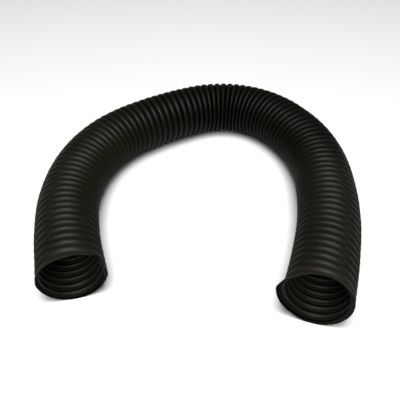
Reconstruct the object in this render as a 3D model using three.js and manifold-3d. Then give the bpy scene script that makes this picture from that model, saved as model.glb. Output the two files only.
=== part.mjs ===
// Flexible vacuum hose: one moulded rubber tube with a wavy wall, cut from stock and lying in a loose arch.
// Millimetres, +Z up, the floor at z = 0. Both mouths look towards -Y and the arch closes towards +Y.
import * as THREE from 'three';
import { mergeVertices } from 'three/addons/utils/BufferGeometryUtils.js';
import Module from 'manifold-3d';

const wasm = await Module();
wasm.setup();

// Sizes of the hose
const boreDiameter = 76;
const wallThickness = 1.6;
const ribHeight = 3.4;
const ribPitch = 11.9;
// The ribs sit closer together around the bend than at the mouths, by this share of the pitch
const bendSqueeze = 0.06;

// The centreline's places on the floor, from the left mouth round the bend to the right mouth
const routePlaces = [
  [-158, -205], [-176, -135], [-187, -63], [-183, 11], [-162, 75], [-123, 129], [-58, 179], [12, 212],
  [74, 210], [128, 174], [168, 108], [185, 37], [185, -35], [176, -106], [159, -176], [138, -245],
];

// The left mouth is pressed down a little, over a short length, and its cut leans forward at the top
const pressDepth = 5;
const pressLength = 70;
const leftCutLean = THREE.MathUtils.degToRad(5);

// The right mouth's lip is pulled outwards on the side that faces the other leg
const lipReach = 7.5;
const lipLength = 13;
const lipSpread = THREE.MathUtils.degToRad(40);
const lipAngle = THREE.MathUtils.degToRad(175);

// How finely the round wall is cut into flats
const sides = 12;

// Sizes that follow
const boreRadius = boreDiameter / 2;
const outerRadius = boreRadius + wallThickness + ribHeight;
const up = new THREE.Vector3(0, 0, 1);

const route = new THREE.CatmullRomCurve3(
  routePlaces.map(([x, y]) => new THREE.Vector3(x, y, outerRadius)),
  false,
  'catmullrom',
  0.5,
);
route.arcLengthDivisions = 2000;
const hoseLength = route.getLength();
const turns = hoseLength / ribPitch;

// Place and direction of the centreline, run straight on past both mouths
function centreAt(distance) {
  const share = THREE.MathUtils.clamp(distance / hoseLength, 0, 1);
  const forward = route.getTangentAt(share);
  const past = distance - share * hoseLength;
  const place = route.getPointAt(share).addScaledVector(forward, past);
  const left = new THREE.Vector3().crossVectors(up, forward).normalize();
  return { place, forward, left };
}

// Distance along the hose of a point of the rib's helix, counted in turns from the left mouth
function distanceAtTurn(turn) {
  const share = turn / turns;
  const squeeze = (bendSqueeze / (2 * Math.PI)) * Math.sin(2 * Math.PI * share);
  return hoseLength * (share + squeeze);
}

// How far the right mouth's lip is pulled out at a distance and an angle
function lipAt(distance, angle) {
  const along = Math.max(0, 1 - (hoseLength - distance) / lipLength);
  const turned = Math.atan2(Math.sin(angle - lipAngle), Math.cos(angle - lipAngle));
  const around = Math.max(0, 1 - Math.abs(turned) / lipSpread);
  return lipReach * along ** 1.5 * around;
}

// A point of the wall. The angle runs from the left side over the top, seen along the hose
function wallPoint(distance, angle, radius) {
  const { place, left } = centreAt(distance);
  const reach = radius + lipAt(distance, angle);
  const pressed = Math.max(0, 1 - Math.max(0, distance) / pressLength) ** 2;
  const flatten = (pressed * pressDepth) / (2 * outerRadius);
  const sideways = reach * Math.cos(angle) * (1 + flatten / 2);
  const height = (outerRadius + reach * Math.sin(angle)) * (1 - flatten) - outerRadius;
  return place.addScaledVector(left, sideways).addScaledVector(up, height);
}

// The wall before its ends are cut: a strip wound as a left-hand helix, outside and inside, closed at both ends
function woundWall() {
  const spare = 2;
  const firstStep = -spare * sides;
  const steps = Math.ceil((turns + 2 * spare) * sides);
  const startAngle = -Math.PI / 2;
  const positions = [];
  const rows = { crestOutside: [], grooveOutside: [], crestInside: [], grooveInside: [] };
  const offsets = {
    crestOutside: { half: 0, radius: outerRadius },
    grooveOutside: { half: 0.5, radius: outerRadius - ribHeight },
    crestInside: { half: 0, radius: outerRadius - wallThickness },
    grooveInside: { half: 0.5, radius: boreRadius },
  };
  for (let step = 0; step <= steps; step += 1) {
    const turn = (firstStep + step) / sides;
    const angle = startAngle - turn * 2 * Math.PI;
    for (const [name, { half, radius }] of Object.entries(offsets)) {
      rows[name].push(positions.length / 3);
      positions.push(...wallPoint(distanceAtTurn(turn + half), angle, radius).toArray());
    }
  }

  const faces = [];
  const quad = (a, b, c, d) => faces.push(a, b, c, a, c, d);
  const skin = (crest, groove, flip) => {
    for (let step = 0; step < steps; step += 1) {
      const near = [crest[step], crest[step + 1], groove[step + 1], groove[step]];
      quad(...(flip ? near.reverse() : near));
      if (step + sides < steps) {
        const far = [groove[step], groove[step + 1], crest[step + 1 + sides], crest[step + sides]];
        quad(...(flip ? far.reverse() : far));
      }
    }
  };
  skin(rows.crestOutside, rows.grooveOutside, true);
  skin(rows.crestInside, rows.grooveInside, false);

  const start = (crest, groove) => [...crest.slice(0, sides + 1), groove[0]];
  const end = (crest, groove) => [...groove.slice(steps - sides), crest[steps]];
  const cap = (outside, inside, flip) => {
    outside.forEach((corner, at) => {
      const next = (at + 1) % outside.length;
      const strip = [corner, outside[next], inside[next], inside[at]];
      quad(...(flip ? strip.reverse() : strip));
    });
  };
  cap(start(rows.crestOutside, rows.grooveOutside), start(rows.crestInside, rows.grooveInside), false);
  cap(end(rows.crestOutside, rows.grooveOutside), end(rows.crestInside, rows.grooveInside), true);

  const geometry = new THREE.BufferGeometry();
  geometry.setAttribute('position', new THREE.Float32BufferAttribute(positions, 3));
  geometry.setIndex(faces);
  return geometry;
}

function toSolid(geometry) {
  const plain = geometry.clone();
  plain.deleteAttribute('normal');
  plain.deleteAttribute('uv');
  const merged = mergeVertices(plain, 1e-4);
  return new wasm.Manifold(new wasm.Mesh({
    numProp: 3,
    vertProperties: new Float32Array(merged.attributes.position.array),
    triVerts: new Uint32Array(merged.index.array),
  }));
}

function toGeometry(solid) {
  const { vertProperties, triVerts } = solid.getMesh();
  const geometry = new THREE.BufferGeometry();
  geometry.setAttribute('position', new THREE.BufferAttribute(vertProperties, 3));
  geometry.setIndex(new THREE.BufferAttribute(triVerts, 1));
  const flat = geometry.toNonIndexed();
  flat.computeVertexNormals();
  return flat;
}

// A block that takes away all that lies past a mouth. Its near face is the cut, which leans out at the top
function endCutter(distance, outward, lean) {
  const size = 4 * outerRadius;
  const { place, forward, left } = centreAt(distance);
  const away = forward.clone().multiplyScalar(outward).applyAxisAngle(left, outward * lean);
  const block = new THREE.BoxGeometry(size, size, size);
  block.applyQuaternion(new THREE.Quaternion().setFromUnitVectors(new THREE.Vector3(0, 1, 0), away));
  const centre = place.addScaledVector(away, size / 2);
  block.translate(centre.x, centre.y, centre.z);
  return toSolid(block);
}

function makeHose() {
  const leftCut = endCutter(0, -1, leftCutLean);
  const rightCut = endCutter(hoseLength, 1, 0);
  const wall = toSolid(woundWall()).subtract(leftCut).subtract(rightCut);
  const rubber = new THREE.MeshStandardMaterial({ color: 0x22221e, roughness: 0.55, metalness: 0 });
  const hose = new THREE.Mesh(toGeometry(wall), rubber);
  hose.name = 'hose';
  return hose;
}

const vacuumHose = new THREE.Group();
vacuumHose.add(makeHose());

export default vacuumHose;
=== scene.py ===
# %% [markdown]
# # A length of ribbed vacuum hose
# The object is one piece of near-black rubber hose that lies on the floor in a loose arch.
# Its wall is wavy: a rib winds round it as a helix from one cut end to the other, outside and inside.
# The fixed frame gives the hose's box and its solid. This script gives it its real surface.

import math

import bpy
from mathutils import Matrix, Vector


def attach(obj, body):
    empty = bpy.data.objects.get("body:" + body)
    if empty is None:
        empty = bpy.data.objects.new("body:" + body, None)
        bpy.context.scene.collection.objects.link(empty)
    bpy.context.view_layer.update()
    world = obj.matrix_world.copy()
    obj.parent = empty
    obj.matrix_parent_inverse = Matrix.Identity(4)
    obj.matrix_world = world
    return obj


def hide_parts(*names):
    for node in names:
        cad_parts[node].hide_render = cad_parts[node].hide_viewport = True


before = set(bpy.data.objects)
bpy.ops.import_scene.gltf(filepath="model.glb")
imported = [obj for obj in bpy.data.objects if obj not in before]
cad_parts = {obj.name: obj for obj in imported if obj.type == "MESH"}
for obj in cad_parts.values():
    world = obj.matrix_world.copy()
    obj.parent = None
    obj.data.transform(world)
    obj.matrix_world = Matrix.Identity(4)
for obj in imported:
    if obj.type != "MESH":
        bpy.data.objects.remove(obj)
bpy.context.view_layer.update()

# %% [markdown]
# ## Sizes
# The driving sizes are the real ones, in metres: a 76 mm bore, a 1.6 mm wall, and ribs 3.4 mm high.
# A rib comes every 12.2 mm where the hose lies free, and a little sooner where it is pushed together.
# Everything else about the wall follows from them and from the route.

# %% Sizes of the hose
BORE_DIAMETER = 0.076
WALL_THICKNESS = 0.0016
RIB_HEIGHT = 0.0034
RIB_PITCH = 0.01217
OUTER_RADIUS = BORE_DIAMETER / 2 + WALL_THICKNESS + RIB_HEIGHT

# %% [markdown]
# ## Camera
# The camera stands in front of the two mouths and looks down on them at 38 degrees, about 0.87 m
# from the middle of the floor under the hose. A 50 mm lens gives the same perspective as the photograph.

# %% Camera
CAMERA_AIM = Vector((0.0, -0.002, 0.0))
CAMERA_DISTANCE = 0.8667
CAMERA_ELEVATION = math.radians(38.4)
CAMERA_LENS = 49.88


def add_camera():
    camera = bpy.data.objects.new("camera", bpy.data.cameras.new("camera"))
    back = Vector((0.0, -math.cos(CAMERA_ELEVATION), math.sin(CAMERA_ELEVATION)))
    camera.location = CAMERA_AIM + back * CAMERA_DISTANCE
    camera.rotation_euler = back.to_track_quat("Z", "Y").to_euler()
    camera.data.lens = CAMERA_LENS
    bpy.context.collection.objects.link(camera)
    bpy.context.scene.camera = camera
    return camera


camera = add_camera()
print("camera stands at", [round(v, 3) for v in camera.location])

# %% [markdown]
# ## Route
# The hose is stiff enough to lie in one smooth curve. Its centreline is a list of places on the floor,
# at the height of the outer radius. The curve between them is a Catmull-Rom curve.
# A Bezier spline draws the same curve when each handle is a sixth of the way between the neighbours.

# %% Route of the centreline
ROUTE_MM = [
    (-158, -205), (-176, -135), (-187, -63), (-183, 11), (-162, 75), (-123, 129), (-58, 179), (12, 212),
    (74, 210), (128, 174), (168, 108), (185, 37), (185, -35), (176, -106), (159, -176), (138, -245),
]
ROUTE_STEPS = 40


def route_points():
    return [Vector((x / 1000, y / 1000, OUTER_RADIUS)) for x, y in ROUTE_MM]


def add_route(points):
    curve = bpy.data.curves.new("hose_route", "CURVE")
    curve.dimensions = "3D"
    curve.resolution_u = ROUTE_STEPS
    spline = curve.splines.new("BEZIER")
    spline.bezier_points.add(len(points) - 1)
    before_first = points[0] * 2 - points[1]
    after_last = points[-1] * 2 - points[-2]
    padded = [before_first, *points, after_last]
    for knot, before, place, after in zip(spline.bezier_points, padded, padded[1:], padded[2:]):
        reach = (after - before) / 6
        knot.co = place
        knot.handle_left = place - reach
        knot.handle_right = place + reach
    route = bpy.data.objects.new("ribbed_hose", curve)
    bpy.context.collection.objects.link(route)
    return route


def drawn_line(route):
    drawn = route.to_mesh()
    line = [vertex.co.copy() for vertex in drawn.vertices]
    route.to_mesh_clear()
    return line


route = add_route(route_points())
centreline = drawn_line(route)

# %% [markdown]
# ## Helpers for node trees
# A long formula is easier to read as code than as a picture of nodes. These helpers add one Math or
# Vector Math node each and wire its inputs, which are other sockets or plain numbers.

# %% Helpers for node trees
def feed(tree, source, target):
    if isinstance(source, bpy.types.NodeSocket):
        tree.links.new(source, target)
    else:
        target.default_value = source


def calc(tree, operation, *sources):
    node = tree.nodes.new("ShaderNodeMath")
    node.operation = operation
    for source, target in zip(sources, node.inputs):
        feed(tree, source, target)
    return node.outputs[0]


def vector(tree, operation, *sources):
    node = tree.nodes.new("ShaderNodeVectorMath")
    node.operation = operation
    targets = [node.inputs[0], node.inputs[3]] if operation == "SCALE" else node.inputs
    for source, target in zip(sources, targets):
        feed(tree, source, target)
    return node.outputs["Value"] if operation in {"DOT_PRODUCT", "LENGTH"} else node.outputs["Vector"]


def combine(tree, x, y, z):
    node = tree.nodes.new("ShaderNodeCombineXYZ")
    for source, target in zip((x, y, z), node.inputs):
        feed(tree, source, target)
    return node.outputs[0]


def product(tree, first, *others):
    total = first
    for factor in others:
        total = calc(tree, "MULTIPLY", total, factor)
    return total


def clamp(tree, value, low, high):
    return calc(tree, "MINIMUM", calc(tree, "MAXIMUM", value, low), high)


def blend(tree, share, low, high):
    return calc(tree, "MULTIPLY_ADD", share, calc(tree, "SUBTRACT", high, low), low)


def noise(tree, place, scale, detail=2.0):
    node = tree.nodes.new("ShaderNodeTexNoise")
    feed(tree, place, node.inputs["Vector"])
    node.inputs["Scale"].default_value = scale
    node.inputs["Detail"].default_value = detail
    return calc(tree, "SUBTRACT", node.outputs[0], 0.5)


# %% [markdown]
# ## Wall as a bent grid
# The wall is one closed skin: it runs along the outside from the left mouth to the right one, turns
# over the rim, runs back inside and turns over the other rim. A ring of ribs bent along a curve could
# draw it too, but its ribs would be closed rings and not a helix, and they would stretch round the bend.
# A flat grid has the same layout as the skin, so the wall is a grid whose points are moved to their
# places. Its columns go round the hose. Its rows follow the helix, so that every crest and every groove
# lies exactly on a row. Rows that would run past a cut end stop there and are merged. Two rules shape
# the rib: the crest keeps its radius, because it is the stiff part, and the groove folds deeper where a
# bend squeezes the ribs and goes shallow where they part.

# %% Inputs of the hose tree
WALL_INPUTS = {
    "Outer radius": OUTER_RADIUS,
    "Wall thickness": WALL_THICKNESS,
    "Rib height": RIB_HEIGHT,
    "Rib pitch": RIB_PITCH,
    "Squeeze": 0.177,
    "Squeeze place": 0.5216,
    "Squeeze reach": 0.099,
    "First crest": 0.25,
    "Groove fold": 1.7,
    "Wander": 0.0005,
    "Rim band outside": 0.006,
    "Rim band inside": 0.0005,
    "Crest width": 2.5,
    "Ridge width": 2.3,
    "Shade place": 0.20,
    "Shade width": 0.30,
    "Seam place": -0.27,
    "Seam width": 0.07,
    "Unevenness": 0.0016,
    "Press depth": 0.005,
    "Press length": 0.070,
    "Lip reach": 0.0080,
    "Lip length": 0.018,
    "Lip spread above": math.radians(36),
    "Lip spread below": math.radians(58),
    "Lip angle": math.radians(172),
}
WALL_COUNTS = {"Columns": 64, "Rows outside": 8, "Rows inside": 8}
START_ANGLE = -math.pi / 2

# The left cut: how far it lies back along the hose, in mm, at angles in degrees over the top from the left
LEFT_CUT = [
    (0, -3), (20, -7), (38, -10), (55, -8), (92, -8), (96, -4.3), (112, -3.5), (126, -0.5), (140, 3.5),
    (146, 4.5), (150, 1), (155, -6), (160, -10), (170, -8), (185, -3), (200, 0), (340, 0), (360, -3),
]
LEFT_CUT_SPAN = 20.0


def new_wall_tree():
    tree = bpy.data.node_groups.new("hose_wall", "GeometryNodeTree")
    tree.interface.new_socket("Route", in_out="INPUT", socket_type="NodeSocketGeometry")
    for name, value in WALL_INPUTS.items():
        socket = tree.interface.new_socket(name, in_out="INPUT", socket_type="NodeSocketFloat")
        socket.default_value = value
    for name, value in WALL_COUNTS.items():
        socket = tree.interface.new_socket(name, in_out="INPUT", socket_type="NodeSocketInt")
        socket.default_value = value
    tree.interface.new_socket("Material", in_out="INPUT", socket_type="NodeSocketMaterial")
    tree.interface.new_socket("Wall", in_out="OUTPUT", socket_type="NodeSocketGeometry")
    return tree, tree.nodes.new("NodeGroupInput").outputs


# %% [markdown]
# ### Rows and columns
# The grid's own coordinates say which column and row a point is in. From the row comes the turn of the
# helix, and whether the point is on the outside or the inside of the wall.

# %% Rows and columns of the grid
def wall_grid(tree, given, turns):
    def rows(name):
        whole = calc(tree, "CEIL", calc(tree, "MULTIPLY", calc(tree, "ADD", turns, 1.0), given[name]))
        return calc(tree, "ADD", whole, 1.0)

    outside, inside = rows("Rows outside"), rows("Rows inside")
    both = calc(tree, "ADD", outside, inside)
    grid = tree.nodes.new("GeometryNodeMeshGrid")
    feed(tree, calc(tree, "ADD", given["Columns"], 1.0), grid.inputs["Vertices X"])
    feed(tree, calc(tree, "ADD", both, 1.0), grid.inputs["Vertices Y"])

    place = tree.nodes.new("ShaderNodeSeparateXYZ")
    feed(tree, tree.nodes.new("GeometryNodeInputPosition").outputs[0], place.inputs[0])
    around = calc(tree, "ADD", place.outputs["X"], 0.5)
    row = calc(tree, "ROUND", calc(tree, "MULTIPLY", calc(tree, "ADD", place.outputs["Y"], 0.5), both))
    past_outside = calc(tree, "GREATER_THAN", row, calc(tree, "SUBTRACT", outside, 0.5))
    before_close = calc(tree, "LESS_THAN", row, calc(tree, "SUBTRACT", both, 0.5))
    is_inside = calc(tree, "MULTIPLY", past_outside, before_close)
    outside_row = calc(tree, "MULTIPLY", row, before_close)
    outside_turn = calc(tree, "DIVIDE", outside_row, given["Rows outside"])
    back = calc(tree, "SUBTRACT", calc(tree, "SUBTRACT", both, 1.0), row)
    inside_turn = calc(tree, "DIVIDE", back, given["Rows inside"])
    first_turn = calc(tree, "SUBTRACT", blend(tree, is_inside, outside_turn, inside_turn), 1.0)
    return grid.outputs["Mesh"], around, is_inside, calc(tree, "ADD", first_turn, around)


# %% [markdown]
# ### Distance along the hose
# The ribs are closer at the top of the arch, where the hose has been pushed together. Elsewhere they are
# even, but for a slow change of up to 0.8 mm either way that comes from winding them. The left end was
# cut by hand: the cut wanders along the hose, with small steps and a dip towards the other leg.

# %% Distance along the hose
UNEVEN_SCALE = 25.0


def left_cut(tree, angle):
    node = tree.nodes.new("ShaderNodeFloatCurve")
    line = node.mapping.curves[0]
    node.mapping.clip_min_y, node.mapping.clip_max_y = -1.0, 1.0
    for degrees, millimetres in LEFT_CUT[1:-1]:
        line.points.new(degrees / 360, millimetres / LEFT_CUT_SPAN)
    line.points[0].location = (0.0, LEFT_CUT[0][1] / LEFT_CUT_SPAN)
    line.points[-1].location = (1.0, LEFT_CUT[-1][1] / LEFT_CUT_SPAN)
    for point in line.points:
        point.handle_type = "VECTOR"
    node.mapping.update()
    turned = calc(tree, "WRAP", angle, 2 * math.pi, 0.0)
    feed(tree, calc(tree, "DIVIDE", turned, 2 * math.pi), node.inputs["Value"])
    return calc(tree, "MULTIPLY", node.outputs[0], LEFT_CUT_SPAN / 1000)


def squeeze_depth(tree, given):
    return calc(tree, "MULTIPLY", given["Squeeze"], given["Squeeze reach"])


def turn_count(tree, given, length):
    free_length = calc(tree, "MULTIPLY_ADD", squeeze_depth(tree, given), 2.0, length)
    return calc(tree, "DIVIDE", free_length, given["Rib pitch"])


def wall_distance(tree, given, length, turn, angle):
    depth = squeeze_depth(tree, given)
    middle = calc(tree, "MULTIPLY_ADD", given["Squeeze place"], length, depth)
    free = calc(tree, "MULTIPLY", turn, given["Rib pitch"])
    uneven = noise(tree, combine(tree, 0.0, 0.0, free), UNEVEN_SCALE)
    free = calc(tree, "MULTIPLY_ADD", uneven, given["Unevenness"], free)
    aside = calc(tree, "DIVIDE", calc(tree, "SUBTRACT", free, middle), given["Squeeze reach"])
    swing = calc(tree, "TANH", aside)
    pushed = calc(tree, "MULTIPLY", depth, calc(tree, "ADD", swing, 1.0))
    uncut = calc(tree, "SUBTRACT", free, pushed)
    cut = clamp(tree, uncut, left_cut(tree, angle), length)
    missed = calc(tree, "DIVIDE", calc(tree, "SUBTRACT", cut, uncut), given["Rib pitch"])
    share = calc(tree, "SUBTRACT", 1.0, calc(tree, "MULTIPLY", swing, swing))
    return cut, calc(tree, "ADD", turn, missed), calc(tree, "MULTIPLY", share, given["Squeeze"])


# %% [markdown]
# ### Place on the route
# Sample Curve gives the point and the direction of the route at a distance. The direction a little
# further on tells how sharply the route turns there, which is what squeezes the ribs on the inside of
# the bend. Past the ends the route goes straight on.

# %% Place on the route
TURN_REACH = 0.012


def sample_route(tree, route, distance):
    sample = tree.nodes.new("GeometryNodeSampleCurve")
    sample.mode = "LENGTH"
    feed(tree, route, sample.inputs["Curves"])
    feed(tree, distance, sample.inputs["Length"])
    return sample.outputs["Position"], sample.outputs["Tangent"]


def route_frame(tree, route, length, distance):
    on_route = clamp(tree, distance, 0.0, length)
    place, forward = sample_route(tree, route, on_route)
    past = calc(tree, "SUBTRACT", distance, on_route)
    place = vector(tree, "ADD", place, vector(tree, "SCALE", forward, past))
    left = vector(tree, "NORMALIZE", vector(tree, "CROSS_PRODUCT", (0.0, 0.0, 1.0), forward))
    next_place = clamp(tree, calc(tree, "ADD", on_route, TURN_REACH), 0.0, length)
    last_place = clamp(tree, calc(tree, "SUBTRACT", on_route, TURN_REACH), 0.0, length)
    _, ahead = sample_route(tree, route, next_place)
    _, behind = sample_route(tree, route, last_place)
    turning = vector(tree, "DOT_PRODUCT", left, vector(tree, "SUBTRACT", ahead, behind))
    return place, left, calc(tree, "DIVIDE", turning, 2 * TURN_REACH)


# %% [markdown]
# ### Rib
# The rib is one wave of the wall. Outside it is a broad rounded crest beside a narrow groove. Inside, the
# back of the same wave leaves narrow ridges between wide hollows. One power curve draws both: the higher
# the power, the broader the crest and the narrower what lies between.

# %% Rib
SQUEEZED_RANGE = (0.5, 1.7)
CREST_NARROWING = 0.5
CREST_WIDTH_RANGE = (1.8, 3.0)


def squeeze_share(tree, given, turning, across, pushed):
    beside = product(tree, turning, across, given["Outer radius"])
    closed = calc(tree, "ADD", beside, pushed)
    return clamp(tree, calc(tree, "MULTIPLY_ADD", closed, given["Groove fold"], 1.0), *SQUEEZED_RANGE)


def rib_groove(tree, given, phase, squeezed, is_inside):
    beside = product(tree, calc(tree, "PINGPONG", phase, 0.5), 2.0)
    sharper = product(tree, calc(tree, "SUBTRACT", squeezed, 1.0), CREST_NARROWING)
    rounding = clamp(tree, calc(tree, "SUBTRACT", given["Crest width"], sharper), *CREST_WIDTH_RANGE)
    return calc(tree, "POWER", beside, blend(tree, is_inside, rounding, given["Ridge width"]))


# %% [markdown]
# ### Where shade is painted
# Outside, painted shade darkens the grooves. Inside, a painted shadow lies behind each ridge as seen from
# the nearer mouth, and a fainter painted shade along a thin seam in front of it. It could be painted by
# hand, but a mark made from the rib's own wave stays in step with the rib all the way. The mark runs from
# 0, in painted shade, to 1, unshaded.

# %% Where shade is painted
SEAM_DARKEST = 0.42


# Painted shade: low in the outer grooves, and inside in a painted shadow behind each ridge and along a
# seam.
def unshaded_share(tree, given, phase, groove, is_inside, along):
    side = calc(tree, "SIGN", calc(tree, "SUBTRACT", along, 0.5))
    to_mouth = product(tree, calc(tree, "WRAP", phase, 0.5, -0.5), side)
    off_shade = calc(tree, "ABSOLUTE", calc(tree, "SUBTRACT", to_mouth, given["Shade place"]))
    shade = calc(tree, "MINIMUM", calc(tree, "DIVIDE", off_shade, given["Shade width"]), 1.0)
    off_seam = calc(tree, "ABSOLUTE", calc(tree, "SUBTRACT", to_mouth, given["Seam place"]))
    seam = clamp(tree, calc(tree, "DIVIDE", off_seam, given["Seam width"]), SEAM_DARKEST, 1.0)
    lining = calc(tree, "MINIMUM", shade, seam)
    return blend(tree, is_inside, calc(tree, "SUBTRACT", 1.0, groove), lining)


# %% [markdown]
# ### Mouths
# The left mouth is pressed a little flat and the lip of the right mouth is pulled outwards. Both fade out
# along the hose, because rubber gives way most at its free end.

# %% Mouths
LIP_FADE = 1.5
PRESS_FADE = 2.0


def distance_from_cut(tree, length, distance, angle):
    from_left = calc(tree, "SUBTRACT", distance, left_cut(tree, angle))
    return calc(tree, "MINIMUM", from_left, calc(tree, "SUBTRACT", length, distance))


def fading(tree, distance, reach, power):
    near = calc(tree, "SUBTRACT", 1.0, calc(tree, "DIVIDE", distance, reach))
    return calc(tree, "POWER", calc(tree, "MAXIMUM", near, 0.0), power)


def lip_pull(tree, given, length, distance, angle):
    along = fading(tree, calc(tree, "SUBTRACT", length, distance), given["Lip length"], LIP_FADE)
    aside = calc(tree, "WRAP", calc(tree, "SUBTRACT", angle, given["Lip angle"]), math.pi, -math.pi)
    below = calc(tree, "DIVIDE", aside, given["Lip spread below"])
    above = calc(tree, "DIVIDE", aside, product(tree, given["Lip spread above"], -1.0))
    around = calc(tree, "SUBTRACT", 1.0, calc(tree, "MAXIMUM", below, above))
    return product(tree, along, calc(tree, "MAXIMUM", around, 0.0), given["Lip reach"])


def mouth_press(tree, given, distance):
    near = fading(tree, calc(tree, "MAXIMUM", distance, 0.0), given["Press length"], PRESS_FADE)
    full_height = product(tree, given["Outer radius"], 2.0)
    return product(tree, near, calc(tree, "DIVIDE", given["Press depth"], full_height))


# %% [markdown]
# ### Place of a point
# A point lies beside the centreline at its radius: the outer radius, less the groove and the wall, plus
# the lip and a slight wander. The wander dies out towards the floor, so that the hose lies flat on it.

# %% Place of a point
WANDER_SCALE = 1.3
WANDER_STRETCH = 30.0


def wander_out(tree, given, across, upward, distance):
    ring = combine(tree, across, upward, product(tree, distance, WANDER_STRETCH))
    clear_of_floor = product(tree, calc(tree, "ADD", upward, 1.0), given["Wander"])
    return product(tree, noise(tree, ring, WANDER_SCALE), clear_of_floor)


def wall_radius(tree, given, groove, squeezed, is_inside, lip, wander):
    depth = product(tree, groove, squeezed, given["Rib height"])
    inward = calc(tree, "MULTIPLY_ADD", is_inside, given["Wall thickness"], depth)
    radius = calc(tree, "ADD", calc(tree, "SUBTRACT", given["Outer radius"], inward), lip)
    return calc(tree, "ADD", radius, wander)


def wall_point(tree, given, route_place, left, across, upward, radius, press):
    wider = calc(tree, "MULTIPLY_ADD", press, 0.5, 1.0)
    sideways = product(tree, radius, across, wider)
    standing = calc(tree, "MULTIPLY_ADD", radius, upward, given["Outer radius"])
    pressed = product(tree, standing, calc(tree, "SUBTRACT", 1.0, press))
    height = calc(tree, "SUBTRACT", pressed, given["Outer radius"])
    point = vector(tree, "ADD", route_place, vector(tree, "SCALE", left, sideways))
    return vector(tree, "ADD", point, combine(tree, 0.0, 0.0, height))


def store_marks(tree, mesh, marks):
    for name, value in marks.items():
        store = tree.nodes.new("GeometryNodeStoreNamedAttribute")
        store.data_type = "FLOAT"
        feed(tree, mesh, store.inputs["Geometry"])
        store.inputs["Name"].default_value = name
        feed(tree, value, store.inputs["Value"])
        mesh = store.outputs["Geometry"]
    return mesh


# %% [markdown]
# ### Closing the skin
# The points move to their places, the seams are merged, and edges sharper than a fold stay sharp, which
# are those of the cut rims. The tree ends in Realize Instances and Set Material.

# %% Close and shade the wall
SHARP_ANGLE = math.radians(60)
MERGE_DISTANCE = 0.00002


def finish_wall(tree, given, mesh, point):
    move = tree.nodes.new("GeometryNodeSetPosition")
    feed(tree, mesh, move.inputs["Geometry"])
    feed(tree, point, move.inputs["Position"])
    merge = tree.nodes.new("GeometryNodeMergeByDistance")
    merge.inputs["Distance"].default_value = MERGE_DISTANCE
    feed(tree, move.outputs[0], merge.inputs["Geometry"])
    flip = tree.nodes.new("GeometryNodeFlipFaces")
    feed(tree, merge.outputs[0], flip.inputs[0])
    edge = tree.nodes.new("GeometryNodeInputMeshEdgeAngle")
    smooth = tree.nodes.new("GeometryNodeSetShadeSmooth")
    smooth.domain = "EDGE"
    feed(tree, flip.outputs[0], smooth.inputs["Geometry"])
    feed(tree, calc(tree, "LESS_THAN", edge.outputs["Unsigned Angle"], SHARP_ANGLE),
         smooth.inputs["Shade Smooth"])
    realize = tree.nodes.new("GeometryNodeRealizeInstances")
    feed(tree, smooth.outputs[0], realize.inputs[0])
    paint = tree.nodes.new("GeometryNodeSetMaterial")
    feed(tree, realize.outputs[0], paint.inputs["Geometry"])
    feed(tree, given["Material"], paint.inputs["Material"])
    feed(tree, paint.outputs[0], tree.nodes.new("NodeGroupOutput").inputs[0])


# %% [markdown]
# ### The whole tree
# The tree measures the route, lays out the grid, works out each point's wave and place, and stores the
# marks that the rubber reads: the share outside painted shade, depth of the groove, share of the length,
# inside or outside, and distance from the nearer cut.

# %% Tree of the hose wall
def build_wall_tree():
    tree, given = new_wall_tree()
    measure = tree.nodes.new("GeometryNodeCurveLength")
    feed(tree, given["Route"], measure.inputs[0])
    length = measure.outputs[0]
    turns = turn_count(tree, given, length)
    mesh, around, is_inside, turn = wall_grid(tree, given, turns)

    angle = calc(tree, "SUBTRACT", START_ANGLE, product(tree, around, 2 * math.pi))
    across, upward = calc(tree, "COSINE", angle), calc(tree, "SINE", angle)
    distance, cut_turn, pushed = wall_distance(tree, given, length, turn, angle)
    route_place, left, turning = route_frame(tree, given["Route"], length, distance)
    along = calc(tree, "DIVIDE", distance, length)
    from_rim = distance_from_cut(tree, length, distance, angle)

    squeezed = squeeze_share(tree, given, turning, across, pushed)
    phase = calc(tree, "SUBTRACT", calc(tree, "SUBTRACT", cut_turn, around), given["First crest"])
    whole_groove = rib_groove(tree, given, phase, squeezed, is_inside)
    # The wall's mark of painted shade in the grooves and behind the inner ridges.
    unshaded = unshaded_share(tree, given, phase, whole_groove, is_inside, along)
    band = blend(tree, is_inside, given["Rim band outside"], given["Rim band inside"])
    past_band = clamp(tree, calc(tree, "DIVIDE", from_rim, band), 0.0, 1.0)
    groove = product(tree, whole_groove, past_band)

    wander = wander_out(tree, given, across, upward, distance)
    lip = lip_pull(tree, given, length, distance, angle)
    radius = wall_radius(tree, given, groove, squeezed, is_inside, lip, wander)
    press = mouth_press(tree, given, distance)
    point = wall_point(tree, given, route_place, left, across, upward, radius, press)

    marks = {
        "unshaded": unshaded,
        "groove": groove,
        "along": along,
        "inside": is_inside,
        "from_rim": from_rim,
    }
    finish_wall(tree, given, store_marks(tree, mesh, marks), point)
    return tree


wall_tree = build_wall_tree()
print("nodes in the wall's tree:", len(wall_tree.nodes))
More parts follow.
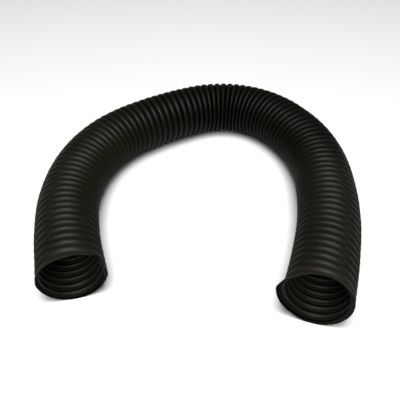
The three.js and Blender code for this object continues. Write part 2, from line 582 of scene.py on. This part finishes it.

# %% [markdown]
# ## Rubber
# The rubber is near-black. Handling has polished the crests, while the grooves stay matt and are darkened
# with painted shade. Dust lies on the two legs more than on the arch and turns their sides olive. Near the
# cut ends the rubber is browner. Inside, painted light makes the lining lighter deeper in the bore,
# a painted shadow lies behind each ridge, and only the tops of the ridges shine. Wear and shade could be
# painted on a picture, but the wall's own marks put them in the right place on every rib. The gloss is a
# coat whose weight follows the wear, because a coat can fade to nothing in a groove, which the base's own
# gloss can't.

# %% Colours of the rubber
RUBBER_COLOURS = {
    # The groove colours are darker than the crests': painted shade in the grooves.
    "clean groove": (0.0003, 0.0003, 0.0002, 1.0),
    "clean crest": (0.0022, 0.0029, 0.0011, 1.0),
    "dusty groove": (0.0036, 0.0042, 0.0020, 1.0),
    "dusty crest": (0.0052, 0.0058, 0.0024, 1.0),
    "dusty side": (0.0072, 0.0090, 0.0024, 1.0),
    "cut end": (0.017, 0.0145, 0.0095, 1.0),
    # The lining lightens from the mouth inwards: painted light deep in the bore.
    "lining at the mouth": (0.0055, 0.0058, 0.0036, 1.0),
    "lining with painted light": (0.0190, 0.0196, 0.0138, 1.0),
    # Painted shadow behind each inner ridge and along its seam.
    "lining painted shade": (0.0004, 0.0004, 0.0003, 1.0),
}
DUSTY_SIDE_SHARE = 0.6
CUT_END_SHARE = 0.5

# %% Where the wear begins and where it is full
# Shares of the hose's length
DUST_ON_LEFT_LEG = (0.42, 0.22)
DUST_ON_RIGHT_LEG = (0.70, 0.86)
DULL_FROM_ARCH = (0.54, 0.64)
DULL_FROM_RIGHT_LEG = (0.80, 0.70)
# Heights above the floor and distances from a cut, in metres
SIDE_HEIGHTS = (0.082, 0.058)
CUT_END_BAND = (0.030, 0.0)
# Painted light in the bore grows over this band from the cut.
PAINTED_LIGHT_BAND = (0.0, 0.070)
RIDGE_SHINE_BAND = (-0.004, 0.008)
# Values of the wall's marks
CREST_MARKS = (0.30, 0.72)
RIDGE_MARKS = (0.0, 0.8)

# %% Gloss and grain of the rubber
POLISH = {
    "crest": 0.9,
    "ridge": 0.85,
    "dusty groove": 0.55,
    "clean side": 0.5,
    "dusty side": 0.13,
    "dull stretch": 0.55,
    "in no patch": 0.6,
    "added by patch": 0.5,
}
DUST_IN_NO_PATCH = 0.4
PATCH_SCALE = 22.0
PATCH_DETAIL = 4.0
ROUGHNESS_IN_NO_PATCH = 0.55
ROUGHNESS_ADDED_BY_PATCH = 0.20
COAT_ROUGHNESS = 0.46
COAT_IOR = 1.30
BASE_SPECULAR = 0.03
GRAIN_SCALE = 900.0
GRAIN_DETAIL = 3.0
GRAIN_STRENGTH = 0.25
GRAIN_HEIGHT = 0.0004


# %% Helpers for the rubber
def mark(tree, name):
    node = tree.nodes.new("ShaderNodeAttribute")
    node.attribute_name = name
    return node.outputs["Fac"]


def mix(tree, share, low, high):
    node = tree.nodes.new("ShaderNodeMix")
    node.data_type = "RGBA"
    feed(tree, share, node.inputs["Factor"])
    feed(tree, low, node.inputs[6])
    feed(tree, high, node.inputs[7])
    return node.outputs[2]


def ramp(tree, value, low, high):
    node = tree.nodes.new("ShaderNodeMapRange")
    node.interpolation_type = "SMOOTHSTEP"
    feed(tree, value, node.inputs["Value"])
    node.inputs["From Min"].default_value = low
    node.inputs["From Max"].default_value = high
    return node.outputs[0]


# %% Wear of the rubber
def rubber_wear(tree, place):
    split = tree.nodes.new("ShaderNodeSeparateXYZ")
    feed(tree, place, split.inputs[0])
    along, is_inside = mark(tree, "along"), mark(tree, "inside")
    is_outside = calc(tree, "SUBTRACT", 1.0, is_inside)
    patches = calc(tree, "ADD", noise(tree, place, PATCH_SCALE, PATCH_DETAIL), 0.5)
    on_left, on_right = ramp(tree, along, *DUST_ON_LEFT_LEG), ramp(tree, along, *DUST_ON_RIGHT_LEG)
    on_legs = calc(tree, "MAXIMUM", on_left, on_right)
    return {
        "inside": is_inside,
        "outside": is_outside,
        "patches": patches,
        "dust": product(tree, on_legs, calc(tree, "ADD", patches, DUST_IN_NO_PATCH)),
        # Low where shade is painted: in the outer grooves and behind each inner ridge.
        "unshaded": ramp(tree, mark(tree, "unshaded"), *CREST_MARKS),
        "side": product(tree, ramp(tree, split.outputs["Z"], *SIDE_HEIGHTS), is_outside),
        "dull": product(tree, ramp(tree, along, *DULL_FROM_ARCH), ramp(tree, along, *DULL_FROM_RIGHT_LEG)),
        "from rim": mark(tree, "from_rim"),
    }


# %% Colour of the rubber
def rubber_colour(tree, wear):
    colour = RUBBER_COLOURS
    # Grooves take the darker colours: painted shade.
    clean = mix(tree, wear["unshaded"], colour["clean groove"], colour["clean crest"])
    dusty = mix(tree, wear["unshaded"], colour["dusty groove"], colour["dusty crest"])
    body = mix(tree, wear["dust"], clean, dusty)
    dusty_side = product(tree, wear["side"], wear["dust"], DUSTY_SIDE_SHARE)
    body = mix(tree, dusty_side, body, colour["dusty side"])
    near_cut = product(tree, ramp(tree, wear["from rim"], *CUT_END_BAND), CUT_END_SHARE)
    body = mix(tree, near_cut, body, colour["cut end"])
    # Painted light: the lining is lighter deeper in the bore.
    within = ramp(tree, wear["from rim"], *PAINTED_LIGHT_BAND)
    lining = mix(tree, within, colour["lining at the mouth"], colour["lining with painted light"])
    # Painted shadow behind each inner ridge and along its seam.
    lining = mix(tree, wear["unshaded"], colour["lining painted shade"], lining)
    return mix(tree, wear["inside"], body, lining)


# %% Polish of the rubber
def rubber_polish(tree, wear):
    past_rim = ramp(tree, wear["from rim"], *RIDGE_SHINE_BAND)
    on_ridge = product(tree, ramp(tree, mark(tree, "groove"), *RIDGE_MARKS), past_rim, POLISH["ridge"])
    on_top = blend(tree, wear["inside"], POLISH["crest"], on_ridge)
    in_groove = product(tree, wear["dust"], wear["outside"], POLISH["dusty groove"])
    on_side = blend(tree, wear["dust"], POLISH["clean side"], POLISH["dusty side"])
    by_wave = blend(tree, wear["unshaded"], in_groove, on_top)
    by_height = blend(tree, wear["side"], 1.0, on_side)
    by_place = blend(tree, wear["dull"], 1.0, POLISH["dull stretch"])
    by_patch = calc(tree, "MULTIPLY_ADD", wear["patches"], POLISH["added by patch"], POLISH["in no patch"])
    return product(tree, by_wave, by_height, by_place, by_patch)


# %% Rubber
def rubber_grain(tree, place):
    bump = tree.nodes.new("ShaderNodeBump")
    bump.inputs["Strength"].default_value = GRAIN_STRENGTH
    bump.inputs["Distance"].default_value = GRAIN_HEIGHT
    feed(tree, noise(tree, place, GRAIN_SCALE, GRAIN_DETAIL), bump.inputs["Height"])
    return bump.outputs[0]


def rubber_material():
    material = bpy.data.materials.new("hose_rubber")
    material.use_nodes = True
    tree = material.node_tree
    shader = tree.nodes["Principled BSDF"].inputs
    place = tree.nodes.new("ShaderNodeTexCoord").outputs["Object"]
    wear = rubber_wear(tree, place)
    added = product(tree, wear["patches"], ROUGHNESS_ADDED_BY_PATCH)
    feed(tree, rubber_colour(tree, wear), shader["Base Color"])
    feed(tree, calc(tree, "ADD", added, ROUGHNESS_IN_NO_PATCH), shader["Roughness"])
    feed(tree, rubber_polish(tree, wear), shader["Coat Weight"])
    feed(tree, rubber_grain(tree, place), shader["Normal"])
    shader["Coat Roughness"].default_value = COAT_ROUGHNESS
    shader["Coat IOR"].default_value = COAT_IOR
    shader["Specular IOR Level"].default_value = BASE_SPECULAR
    return material


rubber = rubber_material()
print("nodes in the rubber:", len(rubber.node_tree.nodes))

# %% [markdown]
# ## The hose as a plain mesh
# The tree runs on the route curve. Its result is copied to a plain mesh, which takes the route's place.

# %% Make the hose
def make_hose(route, tree, material):
    modifier = route.modifiers.new("wall", "NODES")
    modifier.node_group = tree
    sockets = {item.name: item.identifier for item in tree.interface.items_tree if item.in_out == "INPUT"}
    for name, value in {**WALL_INPUTS, **WALL_COUNTS}.items():
        modifier[sockets[name]] = value
    modifier[sockets["Material"]] = material
    evaluated = route.evaluated_get(bpy.context.evaluated_depsgraph_get())
    mesh = bpy.data.meshes.new_from_object(evaluated)
    mesh.name = "ribbed_hose"
    route.modifiers.remove(modifier)
    bpy.data.objects.remove(route)
    hose = bpy.data.objects.new("ribbed_hose", mesh)
    bpy.context.collection.objects.link(hose)
    return hose


hose = make_hose(route, wall_tree, rubber)
triangles = sum(len(face.vertices) - 2 for face in hose.data.polygons)
print("triangles in the hose:", triangles)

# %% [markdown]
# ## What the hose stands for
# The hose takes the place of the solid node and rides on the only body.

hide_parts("hose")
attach(hose, "root")

# %% [markdown]
# ## Floor and light
# A plain pale floor and soft studio light: one large softbox above, a weaker one in front and a pale
# surrounding, so that the near-black rubber shows its ribs.

# %% Floor and light
FLOOR_HALF = 8.0


def add_floor():
    corners = [(-1, -1), (1, -1), (1, 1), (-1, 1)]
    mesh = bpy.data.meshes.new("floor")
    mesh.from_pydata([(x * FLOOR_HALF, y * FLOOR_HALF, 0.0) for x, y in corners], [], [(0, 1, 2, 3)])
    floor = bpy.data.objects.new("floor", mesh)
    bpy.context.collection.objects.link(floor)
    pale = bpy.data.materials.new("pale_floor")
    pale.use_nodes = True
    pale.node_tree.nodes["Principled BSDF"].inputs["Base Color"].default_value = (0.9, 0.9, 0.9, 1.0)
    pale.node_tree.nodes["Principled BSDF"].inputs["Roughness"].default_value = 0.8
    mesh.materials.append(pale)


def add_softbox(name, place, aim, size, power):
    light = bpy.data.lights.new(name, "AREA")
    light.shape = "SQUARE"
    light.size = size
    light.energy = power
    box = bpy.data.objects.new(name, light)
    box.location = place
    box.rotation_euler = (Vector(place) - Vector(aim)).to_track_quat("Z", "Y").to_euler()
    bpy.context.collection.objects.link(box)


def add_surrounding(strength):
    world = bpy.data.worlds.new("pale_surrounding")
    world.use_nodes = True
    world.node_tree.nodes["Background"].inputs["Color"].default_value = (1.0, 1.0, 1.0, 1.0)
    world.node_tree.nodes["Background"].inputs["Strength"].default_value = strength
    bpy.context.scene.world = world


add_floor()
add_softbox("softbox_above", (0.0, -0.9, 2.8), (0.0, 0.7, 0.0), 1.5, 92.0)
add_softbox("softbox_front", (0.0, -2.2, 2.2), (0.0, 0.4, 0.0), 1.2, 42.0)
add_surrounding(0.08)
bpy.context.scene.view_settings.view_transform = "Standard"
lights = [thing for thing in bpy.context.scene.objects if thing.type == "LIGHT"]
print("lights:", [light.name for light in lights])
